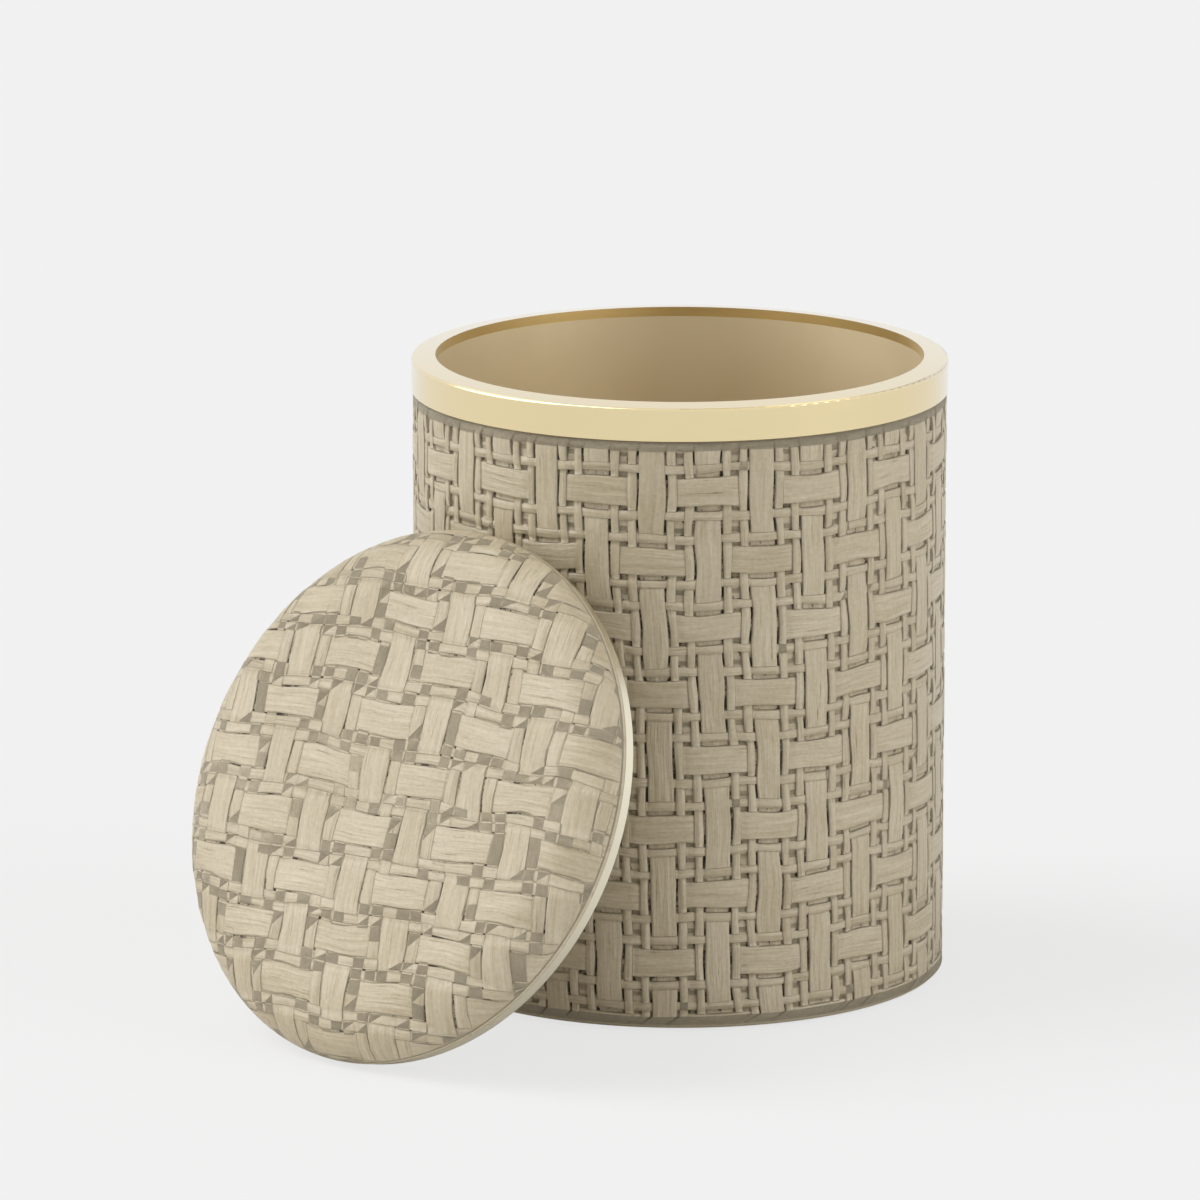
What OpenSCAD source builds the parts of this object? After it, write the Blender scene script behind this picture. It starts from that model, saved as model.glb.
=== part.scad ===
// Lidded canister for a bathroom shelf: a cast body with a basket weave in relief, a metal rim,
// a metal-coloured cup inside, and a loose domed lid that leans against the wall.
// The origin is the centre of the canister's underside, and +Z points up.

/* [Canister] */
// Height of the canister, from the surface it stands on to the outer edge of its rim
canister_h = 103.8; // [80:0.1:130]
// Diameter over the highest strands of the woven wall
body_d = 88.6; // [78:0.1:110]
// Thickness of the wall with its cup, from the highest strands to the mouth
wall_t = 3.8; // [3.4:0.05:10]
// Thickness of the cast floor between the foot pad and the cup
floor_t = 3; // [2:0.1:8]
// Thickness of the metal cup's wall and floor
liner_t = 0.5; // [0.3:0.1:0.8]
// Gap between a piece and the piece that it slides into
fit_gap = 0.15; // [0.1:0.05:0.25]

/* [Rim] */
// Height of the metal band seen from outside
rim_h = 5.35; // [4:0.05:12]
// How far the band stands out past the highest strands
rim_overhang = 0.2; // [0:0.05:1.5]
// Thickness of the band's skirt over the wall
rim_skirt_t = 0.7; // [0.5:0.05:0.9]
// Thickness of the flat land on top of the wall, at its outer edge
rim_land_t = 1.2; // [0.8:0.1:3]
// How much higher the land is at the mouth than at its outer edge
rim_rise = 0.4; // [0:0.05:1]
// Rounding of the land's outer edge
rim_round = 0.35; // [0.1:0.05:0.7]

/* [Foot pad] */
// How far the edge of the foam pad lies in from the highest strands
pad_inset = 7.3; // [3:0.1:20]
// Thickness of the pad
pad_t = 1.5; // [1:0.1:4]
// How far the pad stands out of its recess
pad_proud = 0.4; // [0.1:0.1:0.8]

/* [Weave] */
// Depth of the open holes between four crossings, below the crowns of the broad straps
hole_d = 0.95; // [0.6:0.05:1.2]
// Depth of the slits beside a broad strap, where the strap that it covers shows
slit_d = 0.6; // [0.5:0.05:0.9]
// How much lower the thin strands lie than the broad straps
thin_d = 0.3; // [0.1:0.05:0.45]

/* [Weave on the wall] */
// Groups of upright strands round the wall
wall_columns = 32; // [20:2:36]
// Height of one row of level strands
wall_row_h = 11.45; // [9:0.05:16]
// Width of a broad upright strap
wall_warp_w = 3.95; // [2:0.05:4.5]
// Width of a broad level strap
wall_weft_w = 4.6; // [2:0.05:5]
// Slit between a broad upright strap and the thin strand beside it
wall_warp_slit = 0.45; // [0.3:0.05:0.8]
// Slit between a broad level strap and the thin strand beside it
wall_weft_slit = 0.85; // [0.3:0.05:1.2]
// Distance from the band down to the middle of the first full row
wall_first_row = 8.15; // [6:0.05:12]
// Plain strip below the band
wall_top_margin = 1.5; // [0.5:0.1:4]
// Plain strip above the bottom edge
wall_base_margin = 1.8; // [1:0.1:4]
// Turn of the weave round the canister, measured to the middle of a level strap
wall_turn = -84.3; // [-90:0.1:90]

/* [Lid] */
// How far the lid's edge lies in from the edge of the rim
lid_inset = 0.1; // [0:0.05:2]
// How far the cast lid stands out past its metal ring
lid_overhang = 0.5; // [0.2:0.05:1.5]
// Thickness of the ring, seen as a pale edge
lid_ring_t = 2.4; // [1:0.05:4]
// How far the boss laps over the ring, all round the ring's hole
lid_seat_w = 2; // [1:0.1:12]
// Height of the rounded shoulder over the ring
lid_shoulder_h = 5.9; // [3:0.1:12]
// Width of the rounded shoulder, in from the edge
lid_shoulder_w = 11; // [6:0.1:20]
// Rise of the crown from the shoulder to the middle
lid_crown_h = 1.9; // [0.5:0.1:6]
// Depth of the boss that locates the lid in the mouth
lid_boss_h = 4.2; // [3:0.1:8]
// Gap between the boss and the mouth, all round
lid_boss_gap = 0.6; // [0.3:0.05:1.5]

/* [Weave on the lid] */
// Width of one group of strands that run up the lid
lid_column_w = 10.4; // [8:0.1:16]
// Height of one row of strands that run across the lid
lid_row_h = 9.1; // [7:0.1:16]
// Width of a broad strap that runs up the lid
lid_warp_w = 5; // [2:0.05:6]
// Width of a broad strap that runs across the lid
lid_weft_w = 5.1; // [2:0.05:5.6]
// Slit between a broad strap and the thin strand beside it
lid_slit = 0.5; // [0.3:0.05:0.7]
// Middle of one strap that runs up the lid, across from the lid's centre
lid_shift_x = -0.9; // [-5:0.1:5]
// Middle of the same strap, up from the lid's centre
lid_shift_y = 1.9; // [-5:0.1:5]
// Width of the lid's outer border that the weave doesn't reach
lid_border = 1.2; // [0.8:0.1:6]

/* [Where the lid leans] */
// Direction in which the lid leans against the wall
lean_turn = -131; // [-180:1:180]
// Angle between the lid and the upright
lean_angle = 24; // [15:0.5:40]
// Gap between the lid's boss and the wall that it leans on
lean_gap = 0.3; // [0.2:0.05:1]

/* [Hidden] */
$fn = 128;

body_r = body_d / 2;
mouth_r = body_r - wall_t;
rim_r = body_r + rim_overhang;
liner_r = mouth_r + liner_t;
cavity_r = liner_r + fit_gap;
neck_r = rim_r - rim_skirt_t - fit_gap;
band_z = canister_h - rim_h;
seat_z = canister_h - rim_land_t;
base_z = pad_proud;
floor_z = pad_t + floor_t;
base_chamfer = 0.6;
pad_r = body_r - pad_inset;
pad_recess_r = pad_r + fit_gap;
pad_round = 0.3;

lid_r = rim_r - lid_inset;
ring_r = lid_r - lid_overhang;
lid_weave_r = lid_r - lid_border;
boss_r = mouth_r - lid_boss_gap;
boss_round = 0.6;
ring_hole_r = boss_r - lid_seat_w;
boss_plug_r = ring_hole_r - fit_gap;
shoulder_steps = 3;
arc_step = 6;
shortest_edge = 0.5;

// The weave is a chequerboard of cells. In every other cell the broad weft lies on top, in the
// rest the broad warp, and each has a thin strand on both sides. Four lines are drawn for each
// group of strands, counted 0 to 3: 1 and 2 are the broad strap's edges, and 0 and 3 are the inner
// edges of the thin strands beside it, a slit away.
function group_lines(strap_w, slit) =
    [-strap_w / 2 - slit, -strap_w / 2, strap_w / 2, strap_w / 2 + slit];

// Depth below the crowns where two lines cross: none on the strap that lies on top
function on_strap(line) = line == 1 || line == 2;
function crossing_depth(warp_line, weft_line, weft_on_top) =
    on_strap(weft_on_top ? weft_line : warp_line) ? 0 : thin_d;

// Depth in the middle of the field after two lines: a slit beside the strap that lies on top, a
// hole between four crossings, and no dip anywhere else
function field_depth(warp_line, weft_line, weft_on_top) =
    let (along = weft_on_top ? warp_line : weft_line, across = weft_on_top ? weft_line : warp_line)
    warp_line == 3 && weft_line == 3 ? hole_d :
    along == 1 && (across == 0 || across == 2) ? slit_d : 0;

function even(n) = abs(n) % 2 == 0;
function polar(r, a, z) = [r * cos(a), r * sin(a), z];

// Faces of the field between points a and b of one ring and those above them, n further on: two
// triangles, or four where the field dips to a point in its middle. Outside faces are clockwise.
function field_faces(a, b, n) = [[a, a + n, b + n], [a, b + n, b]];
function dip_faces(a, up_a, up_b, b, tip) =
    [[a, up_a, tip], [up_a, up_b, tip], [up_b, b, tip], [b, a, tip]];

// Solid through a stack of rings that all have n points, closed by a fan to a point at each end.
// Each dip is [ring, place, point]: the field after that place of that ring dips to the point.
module ring_stack(rings, first_tip, last_tip, dips) {
    n = len(rings[0]);
    last = len(rings) * n;
    dipped = [for (k = [0 : len(rings) - 2])
        let (here = [for (dip = dips) if (dip[0] == k) dip[1]])
        [for (i = [0 : n - 1]) len([for (place = here) if (place == i) place]) > 0]];
    polyhedron(
        points = concat([for (ring = rings) each ring], [first_tip, last_tip],
            [for (dip = dips) dip[2]]),
        faces = concat(
            [for (i = [0 : n - 1]) [last, i, (i + 1) % n]],
            [for (k = [0 : len(rings) - 2], i = [0 : n - 1]) if (!dipped[k][i])
                each field_faces(k * n + i, k * n + (i + 1) % n, n)],
            [for (d = [0 : len(dips) - 1])
                let (k = dips[d][0], i = dips[d][1], a = k * n + i, b = k * n + (i + 1) % n)
                each dip_faces(a, a + n, b + n, b, last + 2 + d)],
            [for (i = [0 : n - 1]) [last - n + (i + 1) % n, last - n + i, last + 1]]));
}

wall_angles = [for (c = [0 : wall_columns - 1], line = group_lines(wall_warp_w, wall_warp_slit))
    wall_turn + 360 * c / wall_columns + line / body_r * 180 / PI];
wall_row_z = band_z - wall_first_row;
wall_low_z = base_z + wall_base_margin;
wall_high_z = band_z - wall_top_margin;

// Each level line of the wall as [height, row, line], from the bottom up
wall_lines = let (last = ceil((wall_row_z - wall_low_z) / wall_row_h) + 1, lines =
    group_lines(wall_weft_w, wall_weft_slit))
    [for (row = [-last : 1], l = [0 : 3]) let (z = wall_row_z + row * wall_row_h + lines[l])
        if (z > wall_low_z + shortest_edge && z < wall_high_z - shortest_edge) [z, row, l]];

function wall_weft_on_top(i, line) = even(floor(i / 4) + line[1]);
function plain_ring(r, z) = [for (a = wall_angles) polar(r, a, z)];
function woven_ring(line) = [for (i = [0 : len(wall_angles) - 1])
    polar(body_r - crossing_depth(i % 4, line[2], wall_weft_on_top(i, line)),
        wall_angles[i], line[0])];

// Rings of the wall from the recess for the pad up the outside, and down the inside to the floor
wall_foot = [plain_ring(pad_recess_r, pad_t), plain_ring(pad_recess_r, base_z),
    plain_ring(body_r - base_chamfer, base_z), plain_ring(body_r, base_z + base_chamfer),
    plain_ring(body_r, wall_low_z)];
wall_neck = [plain_ring(body_r, wall_high_z), plain_ring(body_r, band_z - fit_gap),
    plain_ring(neck_r, band_z - fit_gap), plain_ring(neck_r, seat_z),
    plain_ring(cavity_r, seat_z), plain_ring(cavity_r, floor_z)];

// Slits and holes of the wall, each in the middle of the field after line k and place i
wall_dips = [for (k = [0 : len(wall_lines) - 2], i = [0 : len(wall_angles) - 1])
    let (line = wall_lines[k], j = (i + 1) % len(wall_angles),
         depth = field_depth(i % 4, line[2], wall_weft_on_top(i, line)),
         turn = wall_angles[j] - wall_angles[i] + (j == 0 ? 360 : 0),
         z = (line[0] + wall_lines[k + 1][0]) / 2)
    if (depth > 0)
        [k + len(wall_foot), i, polar(body_r - depth, wall_angles[i] + turn / 2, z)]];

module body_shell() {
    color([0.66, 0.6, 0.5])
        ring_stack(concat(wall_foot, [for (line = wall_lines) woven_ring(line)], wall_neck),
            [0, 0, pad_t], [0, 0, floor_z], wall_dips);
}

module rim_collar() {
    color([0.89, 0.83, 0.65])
        rotate_extrude()
            difference() {
                polygon([[mouth_r, seat_z], [mouth_r, canister_h + rim_rise],
                    [rim_r, canister_h], [rim_r, band_z],
                    [rim_r - rim_skirt_t, band_z], [rim_r - rim_skirt_t, seat_z]]);
                translate([rim_r - rim_round, canister_h - rim_round])
                    difference() {
                        square(2 * rim_round);
                        circle(rim_round);
                    }
            }
}

module inner_liner() {
    color([0.72, 0.62, 0.42])
        difference() {
            translate([0, 0, floor_z])
                cylinder(r = liner_r, h = seat_z - floor_z);
            translate([0, 0, floor_z + liner_t])
                cylinder(r = mouth_r, h = seat_z - floor_z);
        }
}

module base_pad() {
    color([0.2, 0.2, 0.19])
        rotate_extrude()
            polygon([[0, 0], [pad_r - pad_round, 0], [pad_r, pad_round],
                [pad_r, pad_t], [0, pad_t]]);
}

// Height of the lid's crowns over the plane of its underside, at radius r
function lid_top(r) =
    let (t = max(0, (r - lid_r + lid_shoulder_w) / lid_shoulder_w))
    lid_ring_t + lid_shoulder_h * sqrt(max(0, 1 - t * t))
        + lid_crown_h * (1 - pow(r / lid_r, 2));

// Each line of the lid's weave as [place, group, line], where it crosses the woven disc
function lid_lines(pitch, strap_w, shift) =
    let (last = ceil((lid_weave_r + abs(shift)) / pitch), lines = group_lines(strap_w, lid_slit))
    [for (group = [-last : last], l = [0 : 3]) let (s = shift + group * pitch + lines[l])
        if (abs(s) < lid_weave_r - shortest_edge) [s, group, l]];

lid_warps = lid_lines(lid_column_w, lid_warp_w, lid_shift_x);
lid_wefts = lid_lines(lid_row_h, lid_weft_w, lid_shift_y);

function lid_edge_point(a) = polar(lid_weave_r, a, lid_top(lid_weave_r));

// How far to each side the lines that run up the lid cross one that runs across it
function lid_reach(weft) = sqrt(pow(lid_weave_r, 2) - pow(weft[0], 2)) - shortest_edge;
function lid_weft_on_top(warp, weft) = !even(warp[1] + weft[1]);

// One row of the lid's surface from edge to edge, and the arcs that close it below and above
function lid_row(weft) =
    let (a = asin(weft[0] / lid_weave_r))
    concat([lid_edge_point(180 - a)],
        [for (warp = lid_warps) if (abs(warp[0]) < lid_reach(weft))
            [warp[0], weft[0], lid_top(norm([warp[0], weft[0]]))
                - crossing_depth(warp[2], weft[2], lid_weft_on_top(warp, weft))]],
        [lid_edge_point(a)]);
function lid_arc(weft, side) =
    let (a = asin(abs(weft[0]) / lid_weave_r), steps = max(2, round((180 - 2 * a) / arc_step)))
    [for (k = [1 : steps - 1]) lid_edge_point(side * (180 - a - k * (180 - 2 * a) / steps))];

lid_rows = concat([lid_arc(lid_wefts[0], -1)], [for (weft = lid_wefts) lid_row(weft)],
    [lid_arc(lid_wefts[len(lid_wefts) - 1], 1)]);

// Running total of the points before each row
row_starts = [for (k = 0, s = 0; k < len(lid_rows); s = s + len(lid_rows[k]), k = k + 1) s];
disc_points = row_starts[len(lid_rows) - 1] + len(lid_rows[len(lid_rows) - 1]);

// Slits and holes of the lid as [row, left side of the field, point in its middle]
lid_dips = [for (k = [0 : len(lid_wefts) - 2], w = [0 : len(lid_warps) - 2])
    let (warp = lid_warps[w], next_warp = lid_warps[w + 1],
         weft = lid_wefts[k], next_weft = lid_wefts[k + 1],
         x = (warp[0] + next_warp[0]) / 2, y = (weft[0] + next_weft[0]) / 2,
         depth = field_depth(warp[2], weft[2], lid_weft_on_top(warp, weft)))
    if (depth > 0 && max(abs(warp[0]), abs(next_warp[0]))
            < min(lid_reach(weft), lid_reach(next_weft)))
        [k + 1, warp[0], [x, y, lid_top(norm([x, y])) - depth]]];

// Triangles between two rows, stepping along the one whose next point comes first. Dips between
// them are given as [left side of the field, number of the dip's point].
function zip_faces(a, b, i, j, a0, b0, dips) =
    i == len(a) - 1 && j == len(b) - 1 ? [] :
    let (tips = a[i].x == b[j].x ? [for (dip = dips) if (dip[0] == a[i].x) dip[1]] : [])
    len(tips) > 0 ? concat(dip_faces(a0 + i, b0 + j, b0 + j + 1, a0 + i + 1, tips[0]),
        zip_faces(a, b, i + 1, j + 1, a0, b0, dips)) :
    j == len(b) - 1 || (i < len(a) - 1 && a[i + 1].x < b[j + 1].x)
        ? concat([[a0 + i, b0 + j, a0 + i + 1]], zip_faces(a, b, i + 1, j, a0, b0, dips))
        : concat([[a0 + i, b0 + j, b0 + j + 1]], zip_faces(a, b, i, j + 1, a0, b0, dips));

// Numbers of the points on the disc's edge, anticlockwise from the right end of the lowest row
lid_rim = let (last = len(lid_rows) - 1) concat(
    [for (k = [1 : last - 1]) row_starts[k] + len(lid_rows[k]) - 1],
    [for (i = [len(lid_rows[last]) - 1 : -1 : 0]) row_starts[last] + i],
    [for (k = [last - 1 : -1 : 1]) row_starts[k]],
    [for (i = [0 : len(lid_rows[0]) - 1]) i]);

// Woven disc, the plain shoulder round it and a flat underside, as one solid
module woven_dome() {
    disc = concat([for (row = lid_rows) each row], [for (dip = lid_dips) dip[2]]);
    n = len(lid_rim);
    start_angle = asin((lid_weave_r - lid_r + lid_shoulder_w) / lid_shoulder_w);
    skirt = [for (k = [1 : shoulder_steps])
        let (a = start_angle + (90 - start_angle) * k / shoulder_steps,
             r = lid_r - lid_shoulder_w * (1 - sin(a)))
        each [for (i = lid_rim) let (p = disc[i] / lid_weave_r) [p.x * r, p.y * r, lid_top(r)]]];
    tip = len(disc) + len(skirt);
    function skirt_point(k, i) = k == 0 ? lid_rim[i % n] : len(disc) + (k - 1) * n + i % n;
    polyhedron(
        points = concat(disc, skirt, [[0, 0, lid_ring_t]]),
        faces = concat(
            [for (k = [0 : len(lid_rows) - 2])
                let (dips = [for (d = [0 : len(lid_dips) - 1]) if (lid_dips[d][0] == k)
                    [lid_dips[d][1], disc_points + d]])
                each zip_faces(lid_rows[k], lid_rows[k + 1], 0, 0,
                    row_starts[k], row_starts[k + 1], dips)],
            [for (k = [0 : shoulder_steps - 1], i = [0 : n - 1]) each [
                [skirt_point(k, i), skirt_point(k, i + 1), skirt_point(k + 1, i + 1)],
                [skirt_point(k, i), skirt_point(k + 1, i + 1), skirt_point(k + 1, i)]]],
            [for (i = [0 : n - 1])
                [skirt_point(shoulder_steps, i), skirt_point(shoulder_steps, i + 1), tip]]));
}

// The lid is drawn on its own axes, with its underside at z = 0, and then leaned against the wall.
// Its lowest edge stands on the floor and the top of its boss comes within lean_gap of the weave.
module leaned() {
    stand_h = max(ring_r * cos(lean_angle), lid_r * cos(lean_angle) - lid_ring_t * sin(lean_angle));
    lean_out = body_r + lean_gap + boss_r * sin(lean_angle) + lid_boss_h * cos(lean_angle);
    rotate([0, 0, lean_turn])
        translate([lean_out, 0, stand_h])
            rotate([0, 90 - lean_angle, 0])
                rotate([0, 0, 90])
                    children();
}

module lid_shell() {
    color([0.76, 0.71, 0.63])
        leaned() woven_dome();
}

module lid_ring() {
    color([0.86, 0.83, 0.74])
        leaned() difference() {
            cylinder(r = ring_r, h = lid_ring_t);
            translate([0, 0, -lid_ring_t])
                cylinder(r = ring_hole_r, h = 3 * lid_ring_t);
        }
}

module lid_boss() {
    color([0.6, 0.55, 0.46])
        leaned() rotate_extrude()
            polygon([[0, -lid_boss_h], [boss_r - boss_round, -lid_boss_h],
                [boss_r, boss_round - lid_boss_h], [boss_r, 0],
                [boss_plug_r, 0], [boss_plug_r, lid_ring_t], [0, lid_ring_t]]);
}

body_shell();
rim_collar();
inner_liner();
base_pad();
lid_shell();
lid_ring();
lid_boss();
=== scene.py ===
# Canister with a cast basket weave, a polished metal rim and a loose lid that leans on its wall.
# The strands of the weave are modelled; their fibres, the brown wash with painted shade in the
# hollows, and the sheen are material.
import math

import bpy
import numpy as np
from mathutils import Matrix


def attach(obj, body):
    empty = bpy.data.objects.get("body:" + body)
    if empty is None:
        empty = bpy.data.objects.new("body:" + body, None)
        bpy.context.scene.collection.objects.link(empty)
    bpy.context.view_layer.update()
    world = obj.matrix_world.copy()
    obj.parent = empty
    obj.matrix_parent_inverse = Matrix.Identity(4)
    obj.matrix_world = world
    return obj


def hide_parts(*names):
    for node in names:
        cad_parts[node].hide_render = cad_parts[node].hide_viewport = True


print("loading the frame")
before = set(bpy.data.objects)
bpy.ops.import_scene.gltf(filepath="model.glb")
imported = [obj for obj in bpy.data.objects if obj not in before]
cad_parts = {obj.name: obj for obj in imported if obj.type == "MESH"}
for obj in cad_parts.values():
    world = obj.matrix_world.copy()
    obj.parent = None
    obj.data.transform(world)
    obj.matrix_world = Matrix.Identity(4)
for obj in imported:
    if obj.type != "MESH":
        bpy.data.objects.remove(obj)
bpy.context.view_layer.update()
scene = bpy.context.scene
mm = 0.001


# Camera: where the photograph was taken from, with the canister's base at the origin
cameraSet = {
    "place": (0, -1.5, 0.40175),
    "tilt": 77.247,   # degrees up from straight down
    "pan": 0.5046,    # degrees to the left
    "lens": 276.75,
    "sensor": 36,
}


def makeCamera(s):
    data = bpy.data.cameras.new("camera")
    data.lens, data.sensor_width = s["lens"], s["sensor"]
    data.clip_start, data.clip_end = 0.05, 50
    camera = bpy.data.objects.new("camera", data)
    camera.location = s["place"]
    camera.rotation_euler = (math.radians(s["tilt"]), 0, math.radians(s["pan"]))
    scene.collection.objects.link(camera)
    scene.camera = camera


makeCamera(cameraSet)
print("camera is set")


# Shader maths: a Wire is an output socket, and plain arithmetic on it adds Math nodes
class Wire:
    def __init__(self, board, socket):
        self.board, self.socket = board, socket

    def math(self, operation, *values):
        numbered = {i: v for i, v in enumerate(values)}
        return self.board.add("Math", {"operation": operation}, numbered)

    def __add__(self, other):
        return self.math("ADD", self, other)

    def __radd__(self, other):
        return self.math("ADD", other, self)

    def __sub__(self, other):
        return self.math("SUBTRACT", self, other)

    def __rsub__(self, other):
        return self.math("SUBTRACT", other, self)

    def __mul__(self, other):
        return self.math("MULTIPLY", self, other)

    def __rmul__(self, other):
        return self.math("MULTIPLY", other, self)

    def clamped(self):
        return self.math("MINIMUM", self.math("MAXIMUM", self, 0), 1)


class Board:
    def __init__(self, owner):
        # the owner is a material or a world
        owner.use_nodes = True
        self.owner, self.tree = owner, owner.node_tree
        self.tree.nodes.clear()

    def add(self, kind, settings, values, output=0):
        node = self.tree.nodes.new("ShaderNode" + kind)
        for key, value in settings.items():
            setattr(node, key, value)
        for key, value in values.items():
            if isinstance(value, Wire):
                self.tree.links.new(value.socket, node.inputs[key])
            else:
                node.inputs[key].default_value = value
        return Wire(self, node.outputs[output])

    def attribute(self, name, output="Fac"):
        return self.add("Attribute", {"attribute_name": name}, {}, output)

    def place(self):
        return self.add("TexCoord", {}, {}, "Object")

    def stretched(self, vector, scale):
        return self.add("VectorMath", {"operation": "MULTIPLY"}, {0: vector, 1: scale})

    def noise(self, vector, scale, detail=3, rough=0.5):
        return self.add("TexNoise", {}, {"Vector": vector, "Scale": scale, "Detail": detail,
                                         "Roughness": rough})

    def blend(self, factor, first, second):
        return self.add("Mix", {"data_type": "RGBA"}, {0: factor, 6: first, 7: second}, 2)

    def bump(self, height, strength, distance):
        return self.add("Bump", {}, {"Height": height, "Strength": strength, "Distance": distance})

    def surface(self, shader, kind="OutputMaterial"):
        node = self.tree.nodes.new("ShaderNode" + kind)
        self.tree.links.new(shader.socket, node.inputs["Surface"])
        return self.owner


def tint(red, green, blue):
    # a colour as it is seen on screen, 0 to 255, turned into the linear value that shaders take
    shares = [value / 255 for value in (red, green, blue)]
    return tuple(((x + 0.055) / 1.055) ** 2.4 if x > 0.04045 else x / 12.92 for x in shares)


def opaque(colour):
    return (*colour, 1)


# Weave: every group holds a narrow, a broad and a narrow strand, both ways. In half of the cells
# the broad weft lies on top, in the others the broad warp, like the fields of a chequerboard.
warpOnTop = np.array([
    [[1, 0, 1], [0, 0, 0], [1, 0, 1]],
    [[0, 1, 0], [1, 1, 1], [0, 1, 0]],
])

# A weave's own settings, in millimetres: "over", "under", "sunk" and "ground" are the heights of its
# strands and of what lies beneath them, and "fill" is how far a clogged hollow is filled up. A
# strand is crowned by "round", tipped by "tilt", lifted by "toss", and climbs over "rise". A hollow
# "washAndShadeReach" wide and "washAndShadeDepth" deep holds all of the brown wash and painted
# shade. "swap" says which cell comes first. The settings below are shared by both weaves.
strandSet = {
    "warpDraws": 96,        # strands with chances of their own, as many as go up round the canister
    "weftDraws": 64,
    "warpStep": 31,         # steps that give every float a number, and so a grain, of its own
    "weftStep": 17,
    "grainStep": 1.7,
    "swellLengths": (19, 8),
    "waveCount": 4,         # waves of each length that make up the strands' drift
    "clogLength": 2.8,      # size of the patches in which the hollows are clogged
    "openWashAndShade": 1.3,        # strength of the brown wash and painted shade in an open hollow
    "clogLoss": 0.7,        # how much of it a clogged one loses
    "lineOutside": 0.04,    # mesh lines outside and inside a strand's edge, and on its shoulder
    "lineInside": 0.07,
    "lineShoulder": 0.35,
    "lineBeside": 0.3,      # mesh line beside a group of strands
}


def eased(t):
    t = np.clip(t, 0, 1)
    return t * t * (3 - 2 * t)


def groupStrands(way):
    side = way["broad"] / 2 + way["slit"] + way["narrow"] / 2
    halves = np.array([way["narrow"], way["broad"], way["narrow"]]) / 2
    return np.array([-side, 0, side]), halves


def nearestStrand(x, way):
    # number of the group, kind of strand, and place across it from -1 to 1
    middles, halves = groupStrands(way)
    group = np.round(x / way["pitch"]).astype(int)
    inGroup = x - group * way["pitch"]
    kind = (np.abs(inGroup[..., None] - middles) - halves).argmin(-1)
    return group, kind, (inGroup - middles[kind]) / halves[kind]


def strandHeight(x, crossed, ownNumber, isWarp, weave, filled):
    # height along a strand: "over" on top, "under" where the next strand covers it, and "sunk" in
    # a slit between two strands that both cover it. Also returns the number of the float.
    middles, halves = groupStrands(crossed)
    group, kind, edge = nearestStrand(x, crossed)
    first = 3 * group + kind - (edge < 0)
    ownGroup, ownKind = ownNumber // 3, ownNumber % 3
    tops, edges = [], []
    for number, side in ((first, 1), (first + 1, -1)):
        g, k = number // 3, number % 3
        parity = (g + ownGroup + weave["swap"]) % 2
        tops.append(warpOnTop[parity, ownKind, k] if isWarp else 1 - warpOnTop[parity, k, ownKind])
        edges.append(g * crossed["pitch"] + middles[k] + side * halves[k])
    (low, high), (leave, meet) = tops, edges
    start = np.where(low < high, leave, meet - weave["rise"])
    lift = low + (high - low) * eased((x - start) / weave["rise"])
    height = weave["under"] + (weave["over"] - weave["under"]) * lift
    gap = (low + high == 0) & (x > leave) & (x < meet)
    nearer = first + (x >= np.where(low < high, leave, np.where(low > high, meet,
                                                                (leave + meet) / 2)))
    return np.where(gap, weave["sunk"] + filled, height), np.where(
        ownKind == 1, nearer - nearer % 3 + 1, nearer)


def strandTop(height, edge, weave, toss, tilt):
    # height of a strand's surface over the ground, or less than the ground beside the strand
    loose = weave["toss"] * (toss - 0.5) * (height > weave["under"])
    crown = weave["round"] * edge ** 6 + weave["tilt"] * (tilt - 0.5) * edge
    return np.where(np.abs(edge) <= 1, height + loose - crown, -1.0)


def chance(table, warpNumber, weftNumber):
    return table[warpNumber % table.shape[0], weftNumber % table.shape[1]]


def reliefAt(u, v, weave, tables, filled):
    # height over the ground at u across and v up, all in millimetres, and which strand is on top
    warpGroup, warpKind, warpEdge = nearestStrand(u, weave["warp"])
    weftGroup, weftKind, weftEdge = nearestStrand(v, weave["weft"])
    warpNumber, weftNumber = 3 * warpGroup + warpKind, 3 * weftGroup + weftKind
    warpHeight, warpFloat = strandHeight(v, weave["weft"], warpNumber, True, weave, filled)
    weftHeight, weftFloat = strandHeight(u, weave["warp"], weftNumber, False, weave, filled)
    warpToss, warpTilt = (chance(t, warpNumber, warpFloat) for t in tables[:2])
    weftToss, weftTilt = (chance(t, weftFloat, weftNumber) for t in tables[2:])
    warp = strandTop(warpHeight, warpEdge, weave, warpToss, warpTilt)
    weft = strandTop(weftHeight, weftEdge, weave, weftToss, weftTilt)
    isWeft = weft >= warp
    ground = weave["ground"] + filled
    tone = np.where(isWeft, weftToss, warpToss)
    around = strandSet["warpDraws"]
    strand = np.where(isWeft, weftNumber * strandSet["weftStep"] + weftFloat % around,
                      warpNumber % around + strandSet["warpStep"] * warpFloat)
    return np.maximum(np.maximum(warp, weft), ground), isWeft, tone, strand


def hollowness(u, v, height, weave, tables, filled):
    # how far a spot lies below its surroundings: 1 in a narrow slit, 0 on a strand
    total = 0
    for a in np.linspace(0, 2 * math.pi, 9)[:-1]:
        du, dv = weave["washAndShadeReach"] * math.cos(a), weave["washAndShadeReach"] * math.sin(a)
        total = total + reliefAt(u + du, v + dv, weave, tables, filled)[0]
    return np.clip((total / 8 - height) / weave["washAndShadeDepth"], 0, 1)


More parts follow.
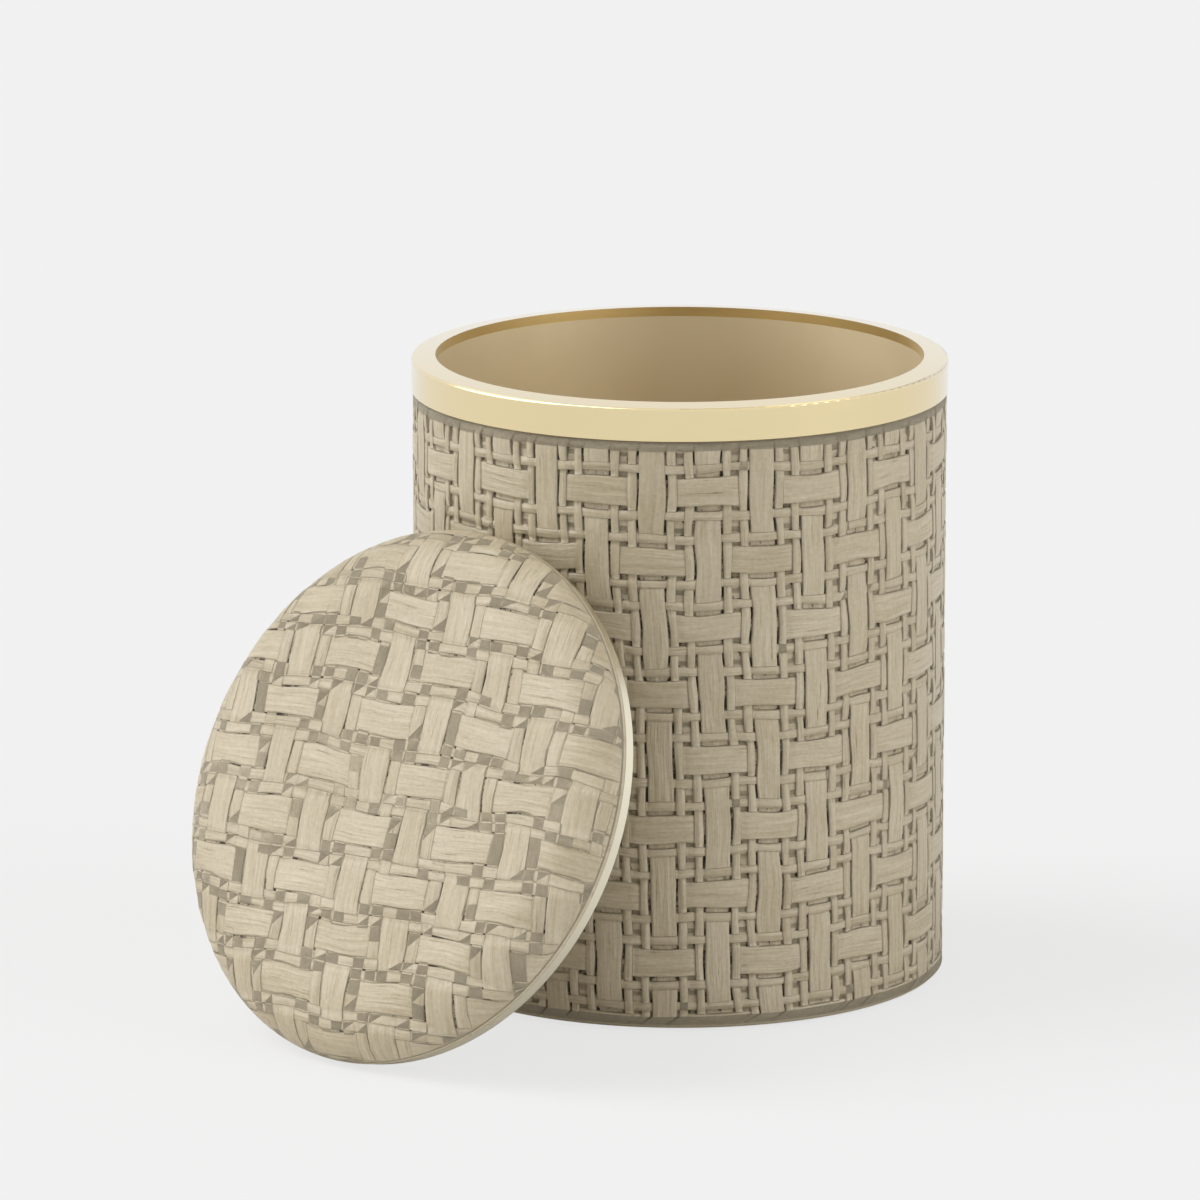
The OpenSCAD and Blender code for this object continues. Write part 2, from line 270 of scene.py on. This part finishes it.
def strandLines(way, low, high):
    # places of the mesh lines across one way: close together at the strands' edges
    middles, halves = groupStrands(way)
    outer = middles[2] + halves[2] + strandSet["lineBeside"]
    marks = [way["pitch"] / 2, -outer, outer]
    for middle, half in zip(middles, halves):
        inner = [half - strandSet["lineShoulder"], 0] if half > way["narrow"] else []
        for place in [half + strandSet["lineOutside"], half - strandSet["lineInside"], *inner]:
            marks += [middle - place, middle + place] if place else [middle]
    groups = np.arange(math.floor(low / way["pitch"]) - 1, math.ceil(high / way["pitch"]) + 2)
    lines = np.sort((groups[:, None] * way["pitch"] + np.array(sorted(marks))).ravel())
    return lines[(lines > low) & (lines < high)]


def wander(u, v, around, waves, draw):
    # slow drift of the strands from a true grid; whole numbers of waves fit round the canister
    total = np.zeros(np.broadcast(u, v).shape)
    for length, size in waves:
        for spin in draw.uniform(0, 2 * math.pi, strandSet["waveCount"]):
            count = round(around / length * math.cos(spin))
            turn = 2 * math.pi * (count * u / around + math.sin(spin) * v / length)
            total = total + size / 2 * np.sin(turn + draw.uniform(0, 2 * math.pi))
    return total


def swell(x, along, around, way, size, draw):
    # strands grow wider and narrower along their length: how far their edges move
    group, kind, edge = nearestStrand(x, way)
    count, lengths = strandSet["warpDraws"], strandSet["swellLengths"]
    phases = draw.uniform(0, 2 * math.pi, (count, len(lengths)))[(3 * group + kind) % count]
    rates = [2 * math.pi * round(around / length) / around for length in lengths]
    change = sum(np.sin(rate * along + phases[..., i]) for i, rate in enumerate(rates))
    return size / 2 * np.clip(edge, -1, 1) * (np.abs(edge) < 1.3) * change


def weaveField(u, v, around, weave, fade, draw):
    # how far each spot lies below the crowns, and the values that the material reads
    s = strandSet
    tables = draw.random((4, s["warpDraws"], s["weftDraws"]))
    clogged = np.clip(0.5 + 0.5 * wander(u, v, around, [(s["clogLength"], 1)], draw), 0, 1)
    filled = weave["fill"] * clogged
    height, isWeft, tone, strand = reliefAt(u, v, weave, tables, filled)
    strength = s["openWashAndShade"] - s["clogLoss"] * clogged
    # brown wash and painted shade: the deeper a spot lies below its surroundings, the darker it is
    # painted
    washAndShade = hollowness(u, v, height, weave, tables, filled) * strength * fade
    along, across = np.where(isWeft, u, v), np.where(isWeft, v, u)
    grain = np.stack([along, across, strand * s["grainStep"]], -1)
    return (weave["over"] - height) * fade, {"washAndShade": washAndShade, "tone": tone, "grain": grain}


def surrounded(values, before, after):
    # adds the values of the plain points that come before and after the woven ones
    full = {}
    for key, value in values.items():
        fill = 0.5 if key == "tone" else 0
        ends = [np.full((count,) + value.shape[1:], fill, float) for count in (before, after)]
        full[key] = np.concatenate([ends[0], value, ends[1]])
    return full


def meshPiece(name, points, faces, values, material, node):
    mesh = bpy.data.meshes.new(name)
    mesh.from_pydata(points.tolist(), [], faces)
    for key, value in values.items():
        kind = "FLOAT_VECTOR" if value.ndim == 2 else "FLOAT"
        field = mesh.attributes.new(key, kind, "POINT")
        field.data.foreach_set("vector" if value.ndim == 2 else "value", value.ravel())
    mesh.polygons.foreach_set("use_smooth", [True] * len(mesh.polygons))
    mesh.materials.append(material)
    mesh.update()
    piece = bpy.data.objects.new(name, mesh)
    scene.collection.objects.link(piece)
    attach(piece, "root")
    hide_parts(node)
    print(name, "has", len(points), "points and", len(faces), "faces")
    return piece


# Cast weave material: satin resin, fibres along each strand, and in the hollows a brown wash with
# painted shade
castSet = {
    "strand": tint(214, 202, 176),
    "strandDark": tint(168, 151, 117),
    # the next two colours fill the hollows with a brown wash and painted shade, darkest in the
    # narrowest slits
    "softWashAndShade": tint(126, 108, 76),
    "washAndShade": tint(54, 42, 26),
    "rough": 0.38,
    "specular": 0.6,
    "fibreStretch": (0.1, 1.2, 1),    # scales along a strand, across it, and from strand to strand
    "fineStretch": (0.13, 2.6, 1),
    "patchScale": 60,
    "speckScale": 1400,
    "toneShares": {"own": 0.12, "fibre": 1.0, "fine": 0.8, "patch": 0.5, "speck": 0.6},
    "toneStart": 0.98,
    "crackLevel": 0.3,
    "crackSharpness": 14,
    "crackStrength": 0.7,
    "darkLevel": 0.5,
    "darkBreaks": 1.2,    # how far the fibres and specks break up the dark wash and painted shade
    "darkSharpness": 5,
    "bumpHeight": 0.0003,
}


def castWeaveMaterial(name, s):
    b = Board(bpy.data.materials.new(name))
    grain = b.attribute("grain", "Vector")
    fibre = b.noise(b.stretched(grain, s["fibreStretch"]), 1, 4, 0.6)
    fine = b.noise(b.stretched(grain, s["fineStretch"]), 1, 4, 0.65)
    patch = b.noise(b.place(), s["patchScale"], 4)
    speck = b.noise(b.place(), s["speckScale"], 3, 0.6)
    own = b.attribute("tone")
    share = s["toneShares"]
    tone = own * share["own"] + fibre * share["fibre"] + fine * share["fine"]
    tone = (tone + patch * share["patch"] + speck * share["speck"] - s["toneStart"]).clamped()
    colour = b.blend(tone, opaque(s["strandDark"]), opaque(s["strand"]))
    cracks = (s["crackLevel"] + own * 0.08 - fine) * s["crackSharpness"]
    cracks = cracks.clamped() * s["crackStrength"]
    # brown wash and painted shade: a soft brown over the hollows, near-black where they are deepest
    washAndShade = b.attribute("washAndShade")
    colour = b.blend((washAndShade * 0.5 + cracks).clamped(), colour, opaque(s["softWashAndShade"]))
    breaks = (fine - 0.5) * s["darkBreaks"]
    dark = washAndShade - s["darkLevel"] + breaks + (speck - 0.5) * s["darkBreaks"]
    dark = (dark * s["darkSharpness"]).clamped()
    colour = b.blend(dark, colour, opaque(s["washAndShade"]))
    rough = s["rough"] + (fibre - 0.5) * 0.3 + washAndShade * 0.25
    height = fibre * 0.8 + fine * 0.5 + speck * 0.15
    normal = b.bump(height, 1.0, s["bumpHeight"])
    shader = b.add("BsdfPrincipled", {}, {
        "Base Color": colour, "Roughness": rough, "Normal": normal,
        "Specular IOR Level": s["specular"]})
    return b.surface(shader)


def plainCastMaterial(name, colour):
    b = Board(bpy.data.materials.new(name))
    patch = b.noise(b.place(), 60, 4)
    shade = b.blend(patch, opaque([x * 0.86 for x in colour]), opaque(colour))
    normal = b.bump(b.noise(b.place(), 700, 3), 0.3, 0.0001)
    shader = b.add("BsdfPrincipled", {}, {"Base Color": shade, "Roughness": 0.5 + patch * 0.1,
                                          "Normal": normal})
    return b.surface(shader)


def metalMaterial(name, s):
    b = Board(bpy.data.materials.new(name))
    brushed = b.noise(b.stretched(b.place(), s["streaks"]), 1, 3)
    cloud = b.noise(b.place(), 30, 3)
    shade = b.blend(cloud, opaque([x * 0.93 for x in s["colour"]]), opaque(s["colour"]))
    rough = s["rough"]
    shader = b.add("BsdfPrincipled", {}, {
        "Base Color": shade, "Metallic": s["metallic"],
        "Roughness": rough + (brushed - 0.5) * rough * 0.6,
        "Coat Weight": 1, "Coat Roughness": rough / 2, "Coat IOR": 1.6,
        "Normal": b.bump(brushed, 0.05, 0.0001)})
    return b.surface(shader)


def foamMaterial(name):
    b = Board(bpy.data.materials.new(name))
    cells = b.noise(b.place(), 1500, 3)
    shade = b.blend(cells, opaque(tint(40, 39, 36)), opaque(tint(62, 60, 55)))
    shader = b.add("BsdfPrincipled", {}, {"Base Color": shade, "Roughness": 0.9,
                                          "Normal": b.bump(cells, 0.6, 0.0003)})
    return b.surface(shader)


castWeave = castWeaveMaterial("castWeave", castSet)
print("materials are made")


# Canister wall: the cast cup with the weave all round, its bare foot and the neck under the rim
wallSet = {
    "radius": 44.3,
    "bandZ": 98.45,
    "topBevel": 0.15,
    "footZ": 0.4,
    "chamfer": 0.6,
    "recessRadius": 37.15,
    "recessZ": 1.5,
    "neckRadius": 43.65,
    "neckZ": 98.3,
    "seatZ": 102.6,
    "cavityRadius": 41.15,
    "floorZ": 4.5,
    "lowMargin": 1.7,
    "highMargin": 1.3,
    "fade": 0.9,
    "seam": 0.01,         # how far the seam at the back lies from the middle of a cell
    "lineMargin": 0.3,    # least distance of the weave's mesh lines from the plain edges
    "calm": 4,            # height over which the strands' drift dies away towards the edges
    "turn": -84.3,        # degrees, the middle of a weft cell
    "rowZ": 89.95,        # the middle of the same cell
    "slant": 0.026,       # how far the upright strands run to the right going down
    "stretch": 1.5,       # how much wider apart they are on the front than at the back
    "weave": {
        "warp": {"pitch": 2 * math.pi * 44.3 / 32, "broad": 4.05, "narrow": 1.4, "slit": 0.28},
        "weft": {"pitch": 11.17, "broad": 4.5, "narrow": 1.4, "slit": 0.8},
        "over": 0.62, "under": 0.48, "sunk": 0.12, "ground": 0.1, "fill": 0.12, "round": 0.07,
        "tilt": 0.06, "toss": 0.06, "rise": 1.0, "washAndShadeReach": 0.36, "washAndShadeDepth": 0.46, "swap": 0,
    },
    "waves": [(60, 0.22), (25, 0.18), (11, 0.12)],
    "swell": 0.1,
}


def makeWall(s):
    weave, draw = s["weave"], np.random.default_rng(11)
    around = 2 * math.pi * s["radius"]
    start = -around / 2 - s["seam"]
    columns = strandLines(weave["warp"], start, start + around)
    columns = np.append(columns, columns[0] + around)   # the seam is at the back
    lowZ, highZ = s["footZ"] + s["chamfer"], s["bandZ"] - s["topBevel"]
    rows = strandLines(weave["weft"], lowZ + s["lineMargin"] - s["rowZ"],
                       highZ - s["lineMargin"] - s["rowZ"])
    u, v = np.meshgrid(columns, rows)
    z = v + s["rowZ"]
    fade = eased((z - lowZ - s["lowMargin"] + s["fade"]) / s["fade"]) * eased(
        (highZ - s["highMargin"] + s["fade"] - z) / s["fade"])
    inside = eased((z - lowZ) / s["calm"]) * eased((highZ - z) / s["calm"])
    depth, values = weaveField(u, v, around, weave, fade, draw)
    shiftU = wander(u, v, around, s["waves"], draw) + swell(
        u, v, around, weave["warp"], s["swell"], draw)
    shiftV = wander(u, v, around, s["waves"], draw) + swell(
        v, u, around, weave["weft"], s["swell"], draw)
    plain = math.radians(s["turn"]) + u / s["radius"]
    shiftU = shiftU - s["slant"] * v + s["stretch"] * np.cos(plain)
    angle = plain + shiftU / s["radius"]
    z = z + shiftV * inside
    radius = s["radius"] - depth
    woven = np.stack([radius * np.cos(angle), radius * np.sin(angle), z], -1)
    n = len(columns)
    plainAngle = math.radians(s["turn"]) + columns / s["radius"]

    def ring(r, height):
        return np.stack([r * np.cos(plainAngle), r * np.sin(plainAngle), np.full(n, height)], -1)

    below = [ring(s["recessRadius"], s["recessZ"]), ring(s["recessRadius"], s["footZ"]),
             ring(s["radius"] - s["chamfer"], s["footZ"]), ring(s["radius"], lowZ)]
    above = [ring(s["radius"], highZ), ring(s["neckRadius"], s["neckZ"]),
             ring(s["neckRadius"], s["seatZ"]), ring(s["cavityRadius"], s["seatZ"]),
             ring(s["cavityRadius"], s["floorZ"])]
    rings = np.concatenate([np.array(below), woven, np.array(above)])
    tips = np.array([[0, 0, s["recessZ"]], [0, 0, s["floorZ"]]])
    points = np.concatenate([rings.reshape(-1, 3), tips]) * mm
    count = len(rings)
    last = (count - 1) * n
    faces = [(k * n + i, k * n + i + 1, (k + 1) * n + i + 1, (k + 1) * n + i)
             for k in range(count - 1) for i in range(n - 1)]
    faces += [(count * n, i + 1, i) for i in range(n - 1)]
    faces += [(count * n + 1, last + i, last + i + 1) for i in range(n - 1)]
    values = {key: value.reshape(-1, *value.shape[2:]) for key, value in values.items()}
    values = surrounded(values, len(below) * n, len(above) * n + len(tips))
    meshPiece("wovenWall", points, faces, values, castWeave, "body_shell")


makeWall(wallSet)


# Lid: a domed cast disc with the weave drawn over its shoulder
lidSet = {
    "radius": 44.36,
    "ringRadius": 43.9,
    "ringT": 2.4,
    "shoulderH": 5.9,
    "shoulderW": 11,
    "crownH": 1.9,
    "border": 1.0,        # plain strip along the surface, up from the ring
    "fade": 1.1,
    "shift": (-1.8, 1.8),
    "slants": (-0.094, 0.032),   # how far the strands up and across stray sideways per millimetre
    "borderRings": (0.35, 0.7, 1),   # mesh lines on the border, as shares of its width
    "around": 200,        # a length only: the lid's drift needs no whole number of waves
    "leanTurn": -131,
    "leanAngle": 24,
    "leanGap": 0.3,       # between the boss's lowest edge and the canister's wall
    "bossRadius": 39.9,
    "bossH": 4.2,
    "weave": {
        "warp": {"pitch": 10.62, "broad": 5.15, "narrow": 2.25, "slit": 0.22},
        "weft": {"pitch": 8.98, "broad": 5.05, "narrow": 1.6, "slit": 0.25},
        "over": 0.64, "under": 0.54, "sunk": 0.4, "ground": 0.36, "fill": 0.12, "round": 0.08,
        "tilt": 0.08, "toss": 0.06, "rise": 1.2, "washAndShadeReach": 0.36, "washAndShadeDepth": 0.26, "swap": 1,
    },
    "waves": [(60, 0.35), (25, 0.3), (11, 0.16)],
    "swell": 0.12,
}


def leanMatrix(s):
    angle = math.radians(s["leanAngle"])
    out = wallSet["radius"] + s["leanGap"] + s["bossRadius"] * math.sin(angle)
    out = out + s["bossH"] * math.cos(angle)
    height = s["ringRadius"] * math.cos(angle)
    return (Matrix.Rotation(math.radians(s["leanTurn"]), 4, "Z")
            @ Matrix.Translation((out * mm, 0, height * mm))
            @ Matrix.Rotation(math.radians(90 - s["leanAngle"]), 4, "Y")
            @ Matrix.Rotation(math.radians(90), 4, "Z"))


def lidProfile(s):
    # radius and height against the way along the surface, from the middle out to the ring
    start = s["radius"] - s["shoulderW"]
    turn = np.linspace(0, math.pi / 2, 200)
    r = np.concatenate([np.linspace(0, start, 100)[:-1], start + s["shoulderW"] * np.sin(turn)])
    inner = np.full(99, 1.0)
    side = np.concatenate([inner, np.cos(turn)])
    z = s["ringT"] + s["shoulderH"] * side + s["crownH"] * (1 - (r / s["radius"]) ** 2)
    way = np.concatenate([[0], np.cumsum(np.hypot(np.diff(r), np.diff(z)))])
    return way, r, z


def lidPlace(x, y, depth, profile):
    # point on the dome for a spot of the flat weave, sunk by depth along the dome's normal
    way, r, z = profile
    reach = np.hypot(x, y)
    slopeR, slopeZ = np.gradient(r, way), np.gradient(z, way)

    def at(values):
        return np.interp(reach, way, values)

    radius = at(r) + depth * at(slopeZ)
    height = at(z) - depth * at(slopeR)
    away = np.maximum(reach, 1e-9)
    return np.stack([radius * x / away, radius * y / away, height], -1)


def keptCells(inside):
    # cells with a corner inside the woven disc, and the points that they use
    touched = inside[:-1, :-1] | inside[1:, :-1] | inside[:-1, 1:] | inside[1:, 1:]
    used = np.zeros_like(inside)
    for rows in (slice(0, -1), slice(1, None)):
        for columns in (slice(0, -1), slice(1, None)):
            used[rows, columns] |= touched
    return touched, used


def makeLid(s):
    weave, draw = s["weave"], np.random.default_rng(23)
    profile = lidProfile(s)
    edge = profile[0][-1] - s["border"]
    span = edge + 3
    xs = strandLines(weave["warp"], -span - s["shift"][0], span - s["shift"][0])
    ys = strandLines(weave["weft"], -span - s["shift"][1], span - s["shift"][1])
    u, v = np.meshgrid(xs, ys)
    around = s["around"]
    x = u + s["shift"][0] + wander(u, v, around, s["waves"], draw) + swell(
        u, v, around, weave["warp"], s["swell"], draw)
    y = v + s["shift"][1] + wander(u, v, around, s["waves"], draw) + swell(
        v, u, around, weave["weft"], s["swell"], draw)
    x, y = x + s["slants"][0] * v, y + s["slants"][1] * u
    reach = np.hypot(x, y)
    fade = eased((edge - reach) / s["fade"])
    depth, values = weaveField(u, v, around, weave, fade, draw)
    # cells that touch the woven disc are kept, and what sticks out of it is drawn in to its edge
    inside = reach < edge - 0.02
    touched, used = keptCells(inside)
    drawn = np.where(inside, 1, edge / reach)
    x, y = x * drawn, y * drawn
    number = np.full(inside.shape, -1)
    number[used] = np.arange(used.sum())
    woven = lidPlace(x[used], y[used], depth[used], profile)
    faces = [(number[j, i], number[j, i + 1], number[j + 1, i + 1], number[j + 1, i])
             for j, i in np.argwhere(touched)]
    rim = number[used & ~inside]
    rim = rim[np.argsort(np.arctan2(y[used & ~inside], x[used & ~inside]))]
    n = len(rim)
    turn = np.arctan2(woven[rim, 1], woven[rim, 0])
    rings, ids = [woven], [rim]
    total = len(woven)
    ringWays = [edge + s["border"] * share for share in s["borderRings"]]
    radii = [(np.interp(w, profile[0], profile[1]), np.interp(w, profile[0], profile[2]))
             for w in ringWays]
    for r, z in radii:
        rings.append(np.stack([r * np.cos(turn), r * np.sin(turn), np.full(n, z)], -1))
        ids.append(np.arange(total, total + n))
        total += n
    for a, b in zip(ids, ids[1:]):
        faces += [(a[i], b[i], b[(i + 1) % n], a[(i + 1) % n]) for i in range(n)]
    rings.append(np.array([[0, 0, s["ringT"]]]))
    faces += [(ids[-1][i], total, ids[-1][(i + 1) % n]) for i in range(n)]
    points = np.concatenate(rings) * mm
    values = {key: value[used] for key, value in values.items()}
    values = surrounded(values, 0, len(points) - len(woven))
    lean = np.array(leanMatrix(s))
    points = points @ lean[:3, :3].T + lean[:3, 3]
    faces = [tuple(int(i) for i in f) for f in faces]
    meshPiece("wovenLid", points, faces, values, castWeave, "lid_shell")


makeLid(lidSet)


# Finishes of the pieces that keep their own shape. Streaks are noise scales along x, y and z.
rimSet = {"colour": (0.89, 0.74, 0.42), "rough": 0.2, "streaks": (40, 40, 900), "metallic": 1}
linerSet = {"colour": (0.78, 0.66, 0.44), "rough": 0.45, "streaks": (60, 60, 60), "metallic": 0.45}
ringSet = {"colour": (0.86, 0.80, 0.62), "rough": 0.3, "streaks": (60, 60, 60), "metallic": 1}


def dress(node, material):
    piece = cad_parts[node]
    piece.data.materials.clear()
    piece.data.materials.append(material)


dress("rim_collar", metalMaterial("rimBrass", rimSet))
dress("inner_liner", metalMaterial("linerBrass", linerSet))
dress("lid_ring", metalMaterial("ringBrass", ringSet))
dress("lid_boss", plainCastMaterial("plainCast", tint(176, 164, 138)))
dress("base_pad", foamMaterial("footFoam"))
print("finishes are on")


# Studio: pale floor and background, an overhead softbox, and a large one on each side
studioSet = {
    "pale": tint(242, 242, 242),
    "floorSize": 6,       # metres from the middle to each edge
    "floorDrop": 0.0001,
    "ambient": 0.4,
    "glow": 0.8,      # how much of the floor's shadows the camera doesn't see
    "top": {"power": 0.9, "spread": 35, "aim": (30, -85)},
    "left": {"power": 1.3, "spread": 50, "aim": (62, -90)},
    "right": {"power": 1.0, "spread": 50, "aim": (68, 70)},
}


def makeSun(name, s):
    data = bpy.data.lights.new(name, "SUN")
    data.energy, data.angle = s["power"], math.radians(s["spread"])
    lamp = bpy.data.objects.new(name, data)
    tilt, turn = (math.radians(a) for a in s["aim"])
    lamp.rotation_euler = (tilt, 0, turn)
    scene.collection.objects.link(lamp)


def makeWorld(s):
    # the camera, metal and glass see the pale background, and the rest gets the ambient light
    scene.world = bpy.data.worlds.new("studio")
    b = Board(scene.world)
    camera, glossy, through = (b.add("LightPath", {}, {}, ray) for ray in (
        "Is Camera Ray", "Is Glossy Ray", "Is Transmission Ray"))
    seen = b.add("Math", {"operation": "MAXIMUM"}, {0: camera, 1: glossy})
    seen = b.add("Math", {"operation": "MAXIMUM"}, {0: seen, 1: through})
    ambient = b.add("Background", {}, {"Color": (1, 1, 1, 1), "Strength": s["ambient"]})
    backdrop = b.add("Background", {}, {"Color": opaque(s["pale"]), "Strength": 1})
    b.surface(b.add("MixShader", {}, {0: seen, 1: ambient, 2: backdrop}), "OutputWorld")


def floorMaterial(s):
    b = Board(bpy.data.materials.new("paleFloor"))
    grain = b.noise(b.place(), 300, 2)
    shade = b.blend(grain, opaque([x * 0.998 for x in s["pale"]]), opaque(s["pale"]))
    seen = b.add("LightPath", {}, {}, "Is Camera Ray")
    return b.surface(b.add("MixShader", {}, {
        0: seen * s["glow"], 1: b.add("BsdfDiffuse", {}, {"Color": shade}),
        2: b.add("Emission", {}, {"Color": opaque(s["pale"])})}))


def makeFloor(s):
    size, z = s["floorSize"], -s["floorDrop"]
    mesh = bpy.data.meshes.new("floor")
    corners = [(x * size, y * size, z) for x, y in ((-1, -1), (1, -1), (1, 1), (-1, 1))]
    mesh.from_pydata(corners, [], [(0, 1, 2, 3)])
    mesh.materials.append(floorMaterial(s))
    floor = bpy.data.objects.new("floor", mesh)
    scene.collection.objects.link(floor)


makeWorld(studioSet)
for side in ("top", "left", "right"):
    makeSun(side + "Light", studioSet[side])
makeFloor(studioSet)
scene.view_settings.view_transform = "Standard"
print("studio is lit")
